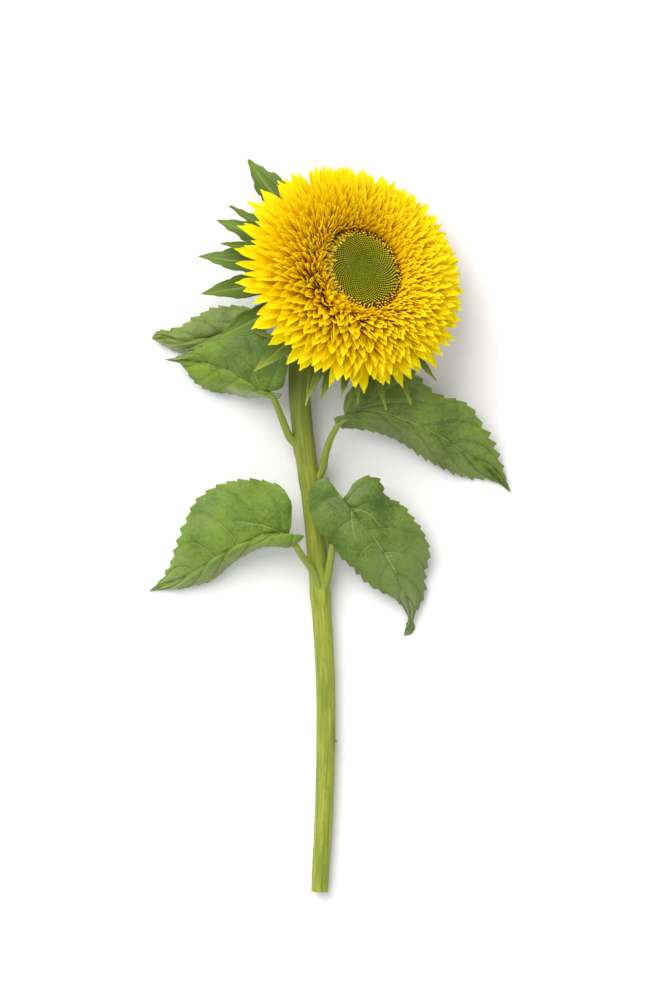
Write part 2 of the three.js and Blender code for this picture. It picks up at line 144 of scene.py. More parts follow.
class Look:
    # a principled material with short names for the nodes that this flower's finishes use
    socketNames = {
        "roughness": "Roughness",
        "specular": "Specular IOR Level",
        "sheen": "Sheen Weight",
        "scatter": "Subsurface Weight",
        "scatterReach": "Subsurface Scale",
        "scatterTint": "Subsurface Radius",
    }

    def __init__(self, name, **settings):
        self.material = bpy.data.materials.new(name)
        self.material.use_nodes = True
        self.tree = self.material.node_tree
        self.shader = self.tree.nodes["Principled BSDF"]
        for setting, value in settings.items():
            self.shader.inputs[self.socketNames[setting]].default_value = value

    def put(self, socket, value):
        # links another node's output to a socket, or sets the socket's own value
        if isinstance(value, bpy.types.NodeSocket):
            self.tree.links.new(value, socket)
        else:
            socket.default_value = value

    def node(self, kind, inputs=(), **settings):
        made = self.tree.nodes.new("ShaderNode" + kind)
        for setting, value in settings.items():
            setattr(made, setting, value)
        for socket, value in dict(inputs).items():
            self.put(made.inputs[socket], value)
        return made

    def maths(self, operation, *values):
        return self.node("Math", dict(enumerate(values)), operation=operation).outputs[0]

    def plus(self, first, second):
        return self.maths("ADD", first, second)

    def minus(self, first, second):
        return self.maths("SUBTRACT", first, second)

    def times(self, first, second):
        return self.maths("MULTIPLY", first, second)

    def swayed(self, value, by, middle, amount):
        # a value moved up and down by another that swings about its middle
        return self.plus(value, self.times(self.minus(by, middle), amount))

    def scaled(self, vector, scale):
        return self.node("VectorMath", {0: vector, 1: scale}, operation="MULTIPLY").outputs[0]

    def objectPlace(self):
        return self.node("TexCoord").outputs["Object"]

    def sheetPlace(self):
        # across the blade from 0 to 1 and along it from 0 to 1
        split = self.node("SeparateXYZ", {0: self.node("UVMap").outputs[0]})
        return split.outputs[0], split.outputs[1]

    def painted(self, name, output="Fac"):
        return self.node("Attribute", attribute_name=name).outputs[output]

    def speckle(self, place, scale, detail=3.0):
        sockets = {"Vector": place, "Scale": scale, "Detail": detail, "Roughness": 0.55}
        return self.node("TexNoise", sockets).outputs[0]

    def drawnOut(self, place, scale, detail=4.0):
        # speckles stretched by a different scale on each axis
        return self.speckle(self.scaled(place, scale), 1, detail)

    def sheetStreaks(self, scale, detail=4.0):
        # streaks along a sheet, different on each sheet
        across, share = self.sheetPlace()
        sockets = {0: across, 1: share, 2: self.painted("chance")}
        return self.drawnOut(self.node("CombineXYZ", sockets).outputs[0], scale, detail)

    def cells(self, place, scale, feature="DISTANCE_TO_EDGE"):
        made = self.node("TexVoronoi", {"Vector": place, "Scale": scale}, feature=feature)
        return made.outputs["Distance"]

    def fade(self, value, start, end, low=0.0, high=1.0):
        # low at start and high at end, smooth between
        sockets = {0: value, 1: start, 2: end, 3: low, 4: high}
        return self.node("MapRange", sockets, interpolation_type="SMOOTHSTEP").outputs[0]

    def shades(self, value, *stops):
        ramp = self.node("ValToRGB", {0: value})
        keys = ramp.color_ramp.elements
        while len(keys) < len(stops):
            keys.new(0.5)
        for key, (place, colour) in zip(keys, stops):
            key.position = place
            key.color = (*colour, 1)
        return ramp.outputs[0]

    def blend(self, share, first, second):
        made = self.node("Mix", {0: share}, data_type="RGBA")
        for socket, colour in ((6, first), (7, second)):
            mixed = isinstance(colour, bpy.types.NodeSocket)
            self.put(made.inputs[socket], colour if mixed else (*colour, 1))
        return made.outputs[2]

    def finish(self, colour, height, depth, strength=0.6, roughness=None):
        # colour, and fine relief of the given depth
        sockets = {"Height": height, "Strength": strength, "Distance": depth * mm}
        self.put(self.shader.inputs["Base Color"], colour)
        self.put(self.shader.inputs["Normal"], self.node("Bump", sockets).outputs[0])
        if roughness is not None:
            self.put(self.shader.inputs["Roughness"], roughness)
        return self.material


# pieces

making = {
    "floorGap": 0.05,  # no point of a piece is nearer to the floor
    "crispAngle": 58,  # edges that bend further, in degrees, are shaded sharp
    "weld": 0.001,
}


def finishPiece(name, bm, place, looks, replaced):
    # puts a bmesh where it belongs and hands it to the frame
    bmesh.ops.transform(bm, matrix=place, verts=bm.verts)
    for vert in bm.verts:
        vert.co.z = max(vert.co.z, making["floorGap"] * mm)
    for face in bm.faces:
        face.smooth = True
    mesh = bpy.data.meshes.new(name)
    bm.to_mesh(mesh)
    bm.free()
    mesh.set_sharp_from_angle(angle=radians(making["crispAngle"]))
    for look in looks:
        mesh.materials.append(look)
    piece = bpy.data.objects.new(name, mesh)
    scene.collection.objects.link(piece)
    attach(piece, "root")
    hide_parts(*replaced)


def newSheet():
    bm = bmesh.new()
    bm.loops.layers.uv.new("UVMap")
    layers = {
        "rank": bm.verts.layers.float.new("rank"),
        "chance": bm.verts.layers.float.new("chance"),
        "grain": bm.verts.layers.float_vector.new("grain"),
    }
    return bm, layers


spareMesh = bpy.data.meshes.new("spare")


def joinTo(bm, small):
    bmesh.ops.recalc_face_normals(small, faces=small.faces)
    small.to_mesh(spareMesh)
    small.free()
    bm.from_mesh(spareMesh)


def addSheet(bm, columns, rows, shape, thickness, rank=0.0, chance=0.5, under=0):
    # a grid bent by shape(across -1 to 1, along 0 to 1), thickened downwards and added to bm
    small, layers = newSheet()
    bmesh.ops.create_grid(small, x_segments=columns, y_segments=rows, size=0.5, calc_uvs=True)
    for vert in small.verts:
        vert.co = shape(2 * vert.co.x, vert.co.y + 0.5)
        vert[layers["rank"]] = rank
        vert[layers["chance"]] = chance
    small.normal_update()
    sunk = [(vert, vert.co - vert.normal * thickness) for vert in small.verts]
    lower = small.faces[:]
    whole = [*small.verts, *small.edges, *small.faces]
    bmesh.ops.extrude_face_region(small, geom=whole, use_keep_orig=True)
    for vert, place in sunk:
        vert.co = place
    for face in lower:
        face.material_index = under
    joinTo(bm, small)


def addTube(bm, route, radiusAt, sides, steps, material=0):
    # a closed rod along a route. radiusAt(share, angle) gives its radius
    frames = []
    across = route.heading(0).orthogonal()
    for step in range(steps + 1):
        share = step / steps
        forward = route.heading(share)
        across = (across - forward * across.dot(forward)).normalized()
        frames.append((share, route.at(share), across, forward.cross(across)))
    small, layers = newSheet()
    grid = bmesh.ops.create_grid(
        small, x_segments=sides, y_segments=steps, size=0.5, calc_uvs=True
    )
    for vert in grid["verts"]:
        share, centre, across, beside = frames[round((vert.co.y + 0.5) * steps)]
        angle = 2 * pi * round((vert.co.x + 0.5) * sides) / sides
        radius = radiusAt(share, angle)
        vert.co = centre + (across * cos(angle) + beside * sin(angle)) * radius
        grain = (radius * cos(angle), radius * sin(angle), share * route.length)
        vert[layers["grain"]] = grain
    bmesh.ops.remove_doubles(small, verts=small.verts, dist=making["weld"])
    bmesh.ops.holes_fill(small, edges=small.edges, sides=0)
    for face in small.faces:
        face.material_index = material
    joinTo(bm, small)


print("helpers ready")


# camera, floor and light

foot = endOf("stem", Vector((0, -1, 0)))
fromFoot = Matrix.Translation(foot) @ Matrix.Scale(mm, 4)

studio = {
    "viewHeight": 2500,
    "viewFromFoot": (7.7, 215),  # where the camera looks straight down, from the stem's foot
    "lens": 163.6,
    "farthestSeen": 50000,
    "floorSize": 12000,
    "skyStrength": 0.88,
    "sunStrength": 2.85,
    "sunSoftness": 50,  # degrees across
    "sunTowards": (0.48, -0.62, -0.86),
    "skyTint": (0.99, 0.99, 1, 1),
    "sunTint": (1, 0.985, 0.96),
}


def makeStudio():
    camera = bpy.data.objects.new("camera", bpy.data.cameras.new("camera"))
    camera.data.lens = studio["lens"]
    camera.data.clip_end = studio["farthestSeen"] * mm
    x, y = studio["viewFromFoot"]
    camera.location = fromFoot @ Vector((x, y, 0))
    camera.location.z = studio["viewHeight"] * mm
    scene.collection.objects.link(camera)
    scene.camera = camera

    bm = bmesh.new()
    bmesh.ops.create_grid(bm, x_segments=1, y_segments=1, size=studio["floorSize"] * mm / 2)
    mesh = bpy.data.meshes.new("floor")
    bm.to_mesh(mesh)
    bm.free()
    paper = Look("pale paper", roughness=0.9, specular=0.15)
    fibre = paper.speckle(paper.objectPlace(), 900, 4)
    tone = paper.shades(fibre, (0.3, (0.81, 0.81, 0.81)), (0.7, (0.83, 0.83, 0.83)))
    mesh.materials.append(paper.finish(tone, fibre, 0.05, 0.2))
    floor = bpy.data.objects.new("floor", mesh)
    scene.collection.objects.link(floor)

    world = bpy.data.worlds.new("studio")
    world.use_nodes = True
    sky = world.node_tree.nodes["Background"]
    sky.inputs["Color"].default_value = studio["skyTint"]
    sky.inputs["Strength"].default_value = studio["skyStrength"]
    scene.world = world

    sun = bpy.data.objects.new("window", bpy.data.lights.new("window", "SUN"))
    sun.data.energy = studio["sunStrength"]
    sun.data.angle = radians(studio["sunSoftness"])
    sun.data.color = studio["sunTint"]
    sun.rotation_euler = Vector(studio["sunTowards"]).to_track_quat("-Z", "Y").to_euler()
    scene.collection.objects.link(sun)
    scene.view_settings.view_transform = "Standard"


makeStudio()
print("studio ready")


# stem: a ribbed rod with leaf joints, two old scars and a cut foot

stem = {
    "length": 330,
    "radius": 5.1,
    "neckRadius": 6.3,
    "waist": 0.35,
    "footTaper": 0.5,
    # sideways offset, share of the length, height of the centreline over one that touches the floor
    "route": [
        (0, 0, 0.1), (3, 0.166, 0.2), (3.7, 0.272, 0.5), (3, 0.378, 1), (0.4, 0.5, 2.1),
        (-4.2, 0.656, 3.9), (-8.8, 0.755, 5.4), (-11, 0.864, 7.6), (-6.5, 0.94, 10.9),
    ],
    "neckReach": 9,
    "sides": 40,
    "steps": 190,
    "ribs": 9,
    "ribDepth": 0.13,
    "joints": (0.4745, 0.662, 0.715, 0.87),  # where leaves grow
    "jointSwell": 0.45,
    # share of the length, side, size and length of each stub
    "scars": [(0.235, 1, 1.6, 3.0), (0.415, -1, 0.9, 1.4), (0.372, -1, 1.1, 1.0)],
    "rind": 1.1,
    "pithDip": 0.5,  # the cut pith has dried a little below the rind
    "lumps": ((0.16, 9, 0), (0.07, 2.5, 5)),  # height, size and seed of its unevenness
}
head = {
    "tilt": 32,  # degrees off upright
    "heading": 38,  # azimuth that it nods towards
    "depth": 25.45,  # from the end of the stem to the face of the receptacle
    "shoulderRing": 24,  # where the receptacle's edge starts to round off
    "shoulderRadius": 10,
    "seat": 0.45,  # gap that florets and buds are set off the receptacle
}
upright = Vector((0, 0, 1))
headAxis = upright.copy()
headAxis.rotate(Matrix.Rotation(radians(head["tilt"]), 3, "Y"))
headAxis.rotate(Matrix.Rotation(radians(head["heading"]), 3, "Z"))
stemEnd = fromFoot.inverted() @ endOf("stem", headAxis, 0.5 * mm)
stemRoute = Route([
    *[
        Vector((x, share * stem["length"], lift - stem["route"][0][2]))
        for x, share, lift in stem["route"]
    ],
    stemEnd - headAxis * stem["neckReach"],
    stemEnd,
])


def stemRadius(share, angle):
    plain = lerp(stem["radius"], stem["neckRadius"], share)
    plain -= stem["waist"] * sin(pi * share)
    plain -= stem["footTaper"] * bell(share, 0.12)
    ribs = stem["ribDepth"] * cos(stem["ribs"] * angle + 3 * sin(4 * share))
    swell = sum(bell(share - joint, 0.014) for joint in stem["joints"]) * stem["jointSwell"]
    place = Vector((cos(angle) * 4, sin(angle) * 4, share * stem["length"]))
    uneven = sum(height * ripple(place, size, seed) for height, size, seed in stem["lumps"])
    return plain + ribs + swell + uneven


def stemLook():
    look = Look("green stem", roughness=0.5, specular=0.3, scatter=0.08, scatterReach=2 * mm)
    grain = look.painted("grain", "Vector")
    streaks = look.drawnOut(grain, (1.1, 1.1, 0.045))
    patches = look.drawnOut(grain, (0.22, 0.22, 0.03), 3)
    flecks = look.cells(look.scaled(grain, (1.3, 1.3, 0.8)), 1, "F1")
    colour = look.shades(
        streaks, (0.3, (0.16, 0.21, 0.015)), (0.5, (0.26, 0.3, 0.026)), (0.72, (0.33, 0.36, 0.05))
    )
    colour = look.blend(look.fade(patches, 0.45, 0.68, 0, 0.55), colour, (0.1, 0.16, 0.008))
    # painted shade: the stem darkens towards the head, where the head's shadow falls on it
    up = look.node("SeparateXYZ", {0: grain}).outputs[2]
    colour = look.blend(
        look.fade(up, stem["length"] * 0.55, stem["length"], 0, 0.85), colour, (0.08, 0.11, 0.01)
    )
    colour = look.blend(look.fade(flecks, 0.1, 0.22, 0.35, 0), colour, (0.36, 0.37, 0.09))
    rust = look.cells(look.scaled(grain, (0.4, 0.4, 0.11)), 1, "F1")
    colour = look.blend(look.fade(rust, 0.07, 0.2, 0.6, 0), colour, (0.17, 0.13, 0.03))
    height = look.plus(streaks, look.times(flecks, 0.3))
    return look.finish(colour, height, 0.3, 0.5)


def pithLook():
    look = Look("cut pith", roughness=0.85)
    place = look.objectPlace()
    sponge = look.cells(place, 1500, "F1")
    colour = look.shades(sponge, (0.1, (0.42, 0.43, 0.22)), (0.6, (0.66, 0.66, 0.46)))
    return look.finish(colour, sponge, 0.3, 0.8)


def scarLook():
    look = Look("dried scar", roughness=0.8)
    grit = look.speckle(look.objectPlace(), 1400, 4)
    colour = look.shades(grit, (0.3, (0.035, 0.025, 0.012)), (0.7, (0.13, 0.1, 0.04)))
    return look.finish(colour, grit, 0.2, 0.7)


def makeStem():
    bm, _ = newSheet()
    addTube(bm, stemRoute, stemRadius, stem["sides"], stem["steps"])
    bm.faces.ensure_lookup_table()
    ends = [face for face in bm.faces if len(face.verts) > 4]
    dip = stem["pithDip"]
    for face in ends:
        bmesh.ops.inset_region(bm, faces=[face], thickness=stem["rind"], depth=0)
        bmesh.ops.inset_region(bm, faces=[face], thickness=dip, depth=-dip)
        face.material_index = 1
    for share, side, size, length in stem["scars"]:
        centre = stemRoute.at(share)
        outside = centre + Vector((side * (stemRadius(share, 0) - 1), 0, 0.6))
        stub = Route([
            outside - Vector((side, length, 0)),
            outside,
            outside + Vector((side * length * 0.35, length * 0.8, 0.3)),
        ])
        addTube(bm, stub, lambda s, a: size * (1.25 - 0.55 * s + 0.1 * cos(5 * a)), 10, 6)
        tip = Route([stub.at(0.86), stub.at(1) + stub.heading(0.98) * 0.35])
        addTube(bm, tip, lambda s, a: size * (0.78 - 0.25 * s), 8, 3, material=2)
    finishPiece("stem_skin", bm, fromFoot, [stemLook(), pithLook(), scarLook()], ["stem"])


makeStem()
print("stem made")


# head: places on it are given about its own axis, with the face of the receptacle at zero

headCentre = stemEnd + headAxis * head["depth"]
headTurn = upright.rotation_difference(headAxis).to_matrix().to_4x4()
fromHead = fromFoot @ Matrix.Translation(headCentre) @ headTurn


def shoulder(slope, off=0.0):
    # radius and height on the rounded edge of the receptacle, off it by a little
    reach = head["shoulderRadius"] + off
    return (
        head["shoulderRing"] + reach * sin(slope),
        reach * cos(slope) - head["shoulderRadius"],
    )


def about(azimuth, radius, side, height):
    c, s = cos(azimuth), sin(azimuth)
    return Vector((radius * c - side * s, radius * s + side * c, height))


class Blade:
    # the surface of one floret, ray or bract: it leaves the shoulder at a slope that changes evenly
    def __init__(self, azimuth, slope, slopeEnd, length, width, widths, cup=0.5, sweep=0.0,
                 twist=0.0, wave=0.0, wavePhase=0.0, fold=0.0, curl=0.0, rows=6):
        self.azimuth, self.width, self.widths, self.length = azimuth, width, widths, length
        self.cup, self.sweep, self.twist, self.fold = cup, sweep, twist, fold
        self.wave, self.wavePhase = wave, wavePhase
        r, h = shoulder(slope, head["seat"])
        steps = 4 * rows
        self.rows, self.middle = rows, [(r, h, slope)]
        for i in range(steps):
            share = (i + 0.5) / steps
            here = lerp(slope, slopeEnd, share) + curl * share ** 4
            r += length / steps * sin(here)
            h += length / steps * cos(here)
            if i % 4 == 3:
                self.middle.append((r, h, here))

    def __call__(self, across, share):
        r, h, here = self.middle[round(share * self.rows)]
        part = along(self.widths, share)
        half = self.width * part / 2
        lift = self.cup * part * across * across - self.fold * part * (1 - abs(across))
        lift += self.wave * sin(5 * share + self.wavePhase) * share
        turn = self.twist * share
        side = -across * half * cos(turn) + self.length * self.sweep * share * share
        lift += across * half * sin(turn)
        return about(self.azimuth, r - lift * cos(here), side, h + lift * sin(here))


# florets: set in a golden spiral from the rim of the eye to the rays that close the head

florets = {
    "count": 1300,
    "crowding": (3.2, 0.36),  # how close they stand next to the eye and next to the rays
    "slices": 200,  # steps from the eye to the rays in which they are shared out
    "rings": 9,
    # each pair is for the innermost and the outermost floret, and angles are in degrees
    "slopes": (0, 91),  # of the shoulder where they stand
    "lengths": (7.5, 32.5),
    "breadths": (1.5, 7.2),
    "leans": (-8, 88),  # from the head's axis
    "bends": (14, 5),  # how much further over they are at their tips
    "outline": [(0, 0.3), (0.25, 0.45), (0.62, 1), (0.8, 0.84), (1, 0.05)],
    "innerOutline": [(0, 0.8), (0.3, 0.85), (0.7, 1), (0.9, 0.75), (1, 0.3)],
    "thickness": 0.2,
    "spread": {"azimuth": 0.012, "bend": 5, "curl": 14, "sweep": 0.07, "twist": 0.35},
    "fineSide": 125,  # azimuth where they are narrowest and most upright
    "fineLean": 7,
    "innerFineLean": 32,
    # azimuths where the outer ones are longer or shorter than elsewhere, and by how much
    "reach": [(168, 0.12), (290, -0.05), (80, -0.07)],
    "ruffle": {"azimuth": 240, "spread": 26, "from": 0.1, "to": 0.42},
}
rays = {
    "count": 21,
    "slope": 94.5,
    "length": 32.5,
    "width": 6.6,
    "widths": [(0, 0.35), (0.3, 0.75), (0.6, 1), (0.8, 0.82), (1, 0.03)],
    "thickness": 0.26,
    "cup": 0.7,
    "wave": 0.5,
    "columns": 6,
    "rows": 14,
}
goldenAngle = pi * (3 - sqrt(5))


def petalLook():
    look = Look(
        "yellow petal", roughness=0.6, specular=0.07, scatter=0.6, scatterReach=2.5 * mm,
        scatterTint=(1, 0.7, 0.06),
    )
    across, share = look.sheetPlace()
    streaks = look.sheetStreaks((9, 1.1, 60), 3)
    ripened = look.swayed(share, look.painted("rank"), 0.75, 0.45)
    ripened = look.swayed(ripened, look.painted("chance"), 0.5, 0.22)
    ripened = look.swayed(ripened, streaks, 0.5, 0.3)
    colour = look.shades(
        ripened,
        (0.0, (0.98, 0.47, 0.0012)),
        (0.3, (0.99, 0.55, 0.0017)),
        (0.62, (0.995, 0.63, 0.002)),
        (0.95, (0.99, 0.75, 0.004)),
    )
    ribs = look.maths("SINE", look.times(across, 31.4))
    height = look.plus(streaks, look.times(ribs, 0.25))
    return look.finish(colour, height, 0.25, 0.5)


def reachOut(azimuth):
    # how much longer than usual the outer florets are on one side of the head
    swings = [(azimuth - radians(side), amount) for side, amount in florets["reach"]]
    return 1 + sum(amount * max(cos(swing), 0) ** 1.5 for swing, amount in swings)


def floretShape(dice, share, azimuth):
    # sizes and bends of a floret by its share of the way out and its place round the head
    fine = 0.5 + 0.5 * cos(azimuth - radians(florets["fineSide"]))
    slope = radians(lerp(*florets["slopes"], share))
    spread = florets["spread"]
    lean = radians(lerp(*florets["leans"], share ** 0.8) - florets["fineLean"] * fine * share)
    lean -= radians(florets["innerFineLean"]) * between(share, 0.09, 0) * between(fine, 0.4, 0.9)
    leanEnd = lean + radians(lerp(*florets["bends"], share) + dice.gauss(0, spread["bend"]))
    length = lerp(*florets["lengths"], share ** 0.75) * lerp(1, reachOut(azimuth), share)
    width = lerp(*florets["breadths"], share ** 0.9) * lerp(1.1, 0.8, fine)
    curl = radians(dice.gauss(0, spread["curl"]))
    ruffle = florets["ruffle"]
    swing = (azimuth - radians(ruffle["azimuth"]) + pi) % (2 * pi) - pi
    if abs(swing) < radians(ruffle["spread"]) and ruffle["from"] < share < ruffle["to"]:
        length *= dice.uniform(0.62, 0.85)
        leanEnd += radians(dice.uniform(-45, 45))
        curl = radians(dice.uniform(-80, 80))
    inner = between(share, 0.12, 0.4)
    widths = [
        (lerp(a, c, inner), lerp(b, d, inner))
        for (a, b), (c, d) in zip(florets["innerOutline"], florets["outline"])
    ]
    rows = 6 if share < 0.5 else 8
    calm = lerp(1, 0.5, fine * share)
    return Blade(
        azimuth + dice.gauss(0, spread["azimuth"]), slope, leanEnd,
        length * dice.uniform(0.93, 1.07), width * dice.uniform(0.85, 1.12), widths,
        cup=width * dice.uniform(0.12, 0.26),
        sweep=dice.gauss(0, spread["sweep"]) * calm, twist=dice.gauss(0, spread["twist"]) * calm,
        wave=dice.uniform(0, 0.5), wavePhase=dice.uniform(0, 6), curl=curl, rows=rows,
    )


def makeFlorets():
    dice = random.Random(11)
    petal = petalLook()
    rings = [newSheet()[0] for _ in range(florets["rings"])]
    first, last = [radians(slope) for slope in florets["slopes"]]
    slices = florets["slices"]
    shares = [(i + 0.5) / slices for i in range(slices)]
    weights = [shoulder(lerp(first, last, s))[0] * lerp(*florets["crowding"], s) for s in shares]
    total, reached, step = sum(weights), 0.0, 0
    for i in range(florets["count"]):
        while step < slices - 1 and reached + weights[step] < (i + 0.5) / florets["count"] * total:
            reached += weights[step]
            step += 1
        share = shares[step]
        blade = floretShape(dice, share, (i * goldenAngle) % (2 * pi))
        ring = rings[min(int(share * florets["rings"]), florets["rings"] - 1)]
        columns = 2 if share < 0.5 else 4
        addSheet(ring, columns, blade.rows, blade, florets["thickness"], share, dice.random())
    for i, ring in enumerate(rings):
        finishPiece(
            f"florets_ring_{i + 1:02d}", ring, fromHead, [petal],
            [f"floret_whorl_{i + 1:02d}"],
        )
    for i in range(rays["count"]):
        bm, _ = newSheet()
        azimuth = 2 * pi * i / rays["count"] + dice.gauss(0, 0.02)
        length = rays["length"] * reachOut(azimuth)
        blade = Blade(
            azimuth, radians(rays["slope"]),
            radians(rays["slope"] + dice.uniform(-7, 3)), length * dice.uniform(0.94, 1.02),
            rays["width"] * dice.uniform(0.9, 1.1), rays["widths"], cup=rays["cup"],
            sweep=dice.gauss(0, 0.06), twist=dice.gauss(0, 0.2), wave=rays["wave"],
            wavePhase=dice.uniform(0, 6), rows=rays["rows"],
        )
        addSheet(bm, rays["columns"], rays["rows"], blade, rays["thickness"], 1, dice.random())
        finishPiece(
            f"ray_petal_{i + 1:02d}", bm, fromHead, [petal], [f"ray_floret_{i + 1:02d}"]
        )


makeFlorets()
print("florets and rays made")


# receptacle and the eye of unopened buds

receptacle = {
    "depth": 25,
    "collar": 7.5,
    "backSlope": 128,
    "hollow": 1.6,
    "ribs": 21,
    "ribHeight": 0.25,
    "steps": 96,
}
eye = {
    "radius": 23.4,
    "height": 3.4,
    "budRadius": 20.6,
    "firstRadius": 0.3,
    "firstGap": 0.72,  # distance between buds at the middle
    "lastGap": 1.5,
    "packing": 0.87,  # share of the square round a bud that is its own
    "bedDepth": 0.25,  # how far the bed lies under the dome
    "pointed": 0.35,  # how much narrower a bud is at its tip
    "steps": 64,
    "rods": 66,
    "rodRows": 3,
    "rowGap": 1.15,
    "rodTall": (0.9, 3.1),  # away from the leaning side and on it
    "rodThick": (0.42, 0.68),
    "rodSwell": 1.55,  # how much thicker they are on the leaning side
    "rodLean": (0.1, 1.8),
    "rodSide": 168,  # azimuth where the half-open florets lean furthest in, degrees
}


def turned(profile, steps):
    bm, layers = newSheet()
    line = [bm.verts.new((r, 0, h)) for r, h in profile]
    edges = [bm.edges.new(pair) for pair in zip(line, line[1:])]
    bmesh.ops.spin(
        bm, geom=line + edges, cent=(0, 0, 0), axis=(0, 0, 1), angle=2 * pi, steps=steps,
        use_merge=True,
    )
    bmesh.ops.remove_doubles(bm, verts=bm.verts, dist=0.01)
    bmesh.ops.recalc_face_normals(bm, faces=bm.faces)
    return bm, layers


def receptacleLook():
    look = Look("green receptacle", roughness=0.6, sheen=0.2)
    place = look.objectPlace()
    patches = look.speckle(place, 160, 4)
    colour = look.shades(patches, (0.3, (0.07, 0.14, 0.02)), (0.7, (0.2, 0.3, 0.06)))
    face = look.shades(patches, (0.3, (0.5, 0.24, 0.002)), (0.7, (0.65, 0.36, 0.003)))
    colour = look.blend(look.painted("rank"), colour, face)
    return look.finish(colour, look.speckle(place, 900, 3), 0.3, 0.5)


def makeReceptacle():
    back = radians(receptacle["backSlope"])
    profile = [(0, -receptacle["depth"]), (receptacle["collar"], -receptacle["depth"])]
    cornerR, cornerH = shoulder(back)
    for i in range(1, 6):  # hollowed slightly between the collar and the edge
        share = i / 6
        dip = receptacle["hollow"] * sin(pi * share)
        profile.append((
            lerp(receptacle["collar"], cornerR, share),
            lerp(-receptacle["depth"], cornerH, share) + dip,
        ))
    profile += [shoulder(lerp(back, 0, i / 16)) for i in range(17)]
    profile.append((0, 0))
    bm, layers = turned(profile, receptacle["steps"])
    for vert in bm.verts:
        vert[layers["rank"]] = between(vert.co.z, -11, -9)  # 1 where florets stand
        angle = atan2(vert.co.y, vert.co.x)
        radius = hypot(vert.co.x, vert.co.y)
        if vert.co.z < -3 and radius > 5:
            rib = receptacle["ribHeight"] * cos(receptacle["ribs"] * angle)
            vert.co.z += rib * between(radius, 8, 20)
    finishPiece("receptacle_skin", bm, fromHead, [receptacleLook()], ["receptacle"])


def eyeSurface(radius):
    # height of the dome at a distance from its middle
    share = radius / eye["radius"]
    profile = [(0, 0.78), (0.5, 1), (0.78, 0.94), (0.9, 0.62), (1, 0.4)]
    return head["seat"] + eye["height"] * along(profile, share)


def budLook():
    look = Look(
        "unopened buds", roughness=0.55, specular=0.12, scatter=0.1, scatterReach=0.6 * mm
    )
    rank = look.painted("rank")
    chance = look.painted("chance")
    rise = look.node("SeparateXYZ", {0: look.painted("grain", "Vector")}).outputs[2]
    # painted shade: each bud and rod is darker and browner at its foot, for the shade between it and its
    # neighbours
    low = look.shades(
        rank, (0.0, (0.11, 0.145, 0.002)), (0.6, (0.1, 0.11, 0.002)), (0.84, (0.12, 0.09, 0.002)),
        (0.88, (0.16, 0.09, 0.002)), (1.0, (0.26, 0.13, 0.002)),
    )
    high = look.shades(
        rank, (0.0, (0.2, 0.24, 0.006)), (0.35, (0.23, 0.26, 0.01)), (0.6, (0.32, 0.31, 0.008)),
        (0.82, (0.42, 0.38, 0.02)), (0.88, (0.85, 0.58, 0.02)), (1.0, (0.95, 0.66, 0.02)),
    )
    colour = look.blend(look.fade(rise, -0.2, 0.85), low, high)
    bloom = look.speckle(look.objectPlace(), 95, 2)
    bloom = look.times(look.fade(bloom, 0.48, 0.66, 0, 0.3), look.fade(rank, 0.86, 0.8))
    colour = look.blend(bloom, colour, (0.22, 0.26, 0.045))
    colour = look.blend(look.fade(chance, 0.6, 1, 0, 0.25), colour, (0.36, 0.36, 0.04))
    return look.finish(colour, look.speckle(look.objectPlace(), 2500, 2), 0.1, 0.4)


def budBedLook():
    look = Look("bed of buds", roughness=0.8, specular=0.1)
    rank = look.painted("rank")
    grit = look.speckle(look.objectPlace(), 1600, 3)
    # painted shade: the bed between the buds is near black and browner at the rim, for the shade in the
    # gaps
    colour = look.shades(
        rank, (0.0, (0.05, 0.08, 0.008)), (0.7, (0.04, 0.045, 0.003)), (0.84, (0.1, 0.06, 0.002)),
        (1.0, (0.2, 0.09, 0.003)),
    )
    colour = look.blend(look.fade(grit, 0.4, 0.7, 0, 0.3), colour, (0.02, 0.02, 0.003))
    return look.finish(colour, grit, 0.2)


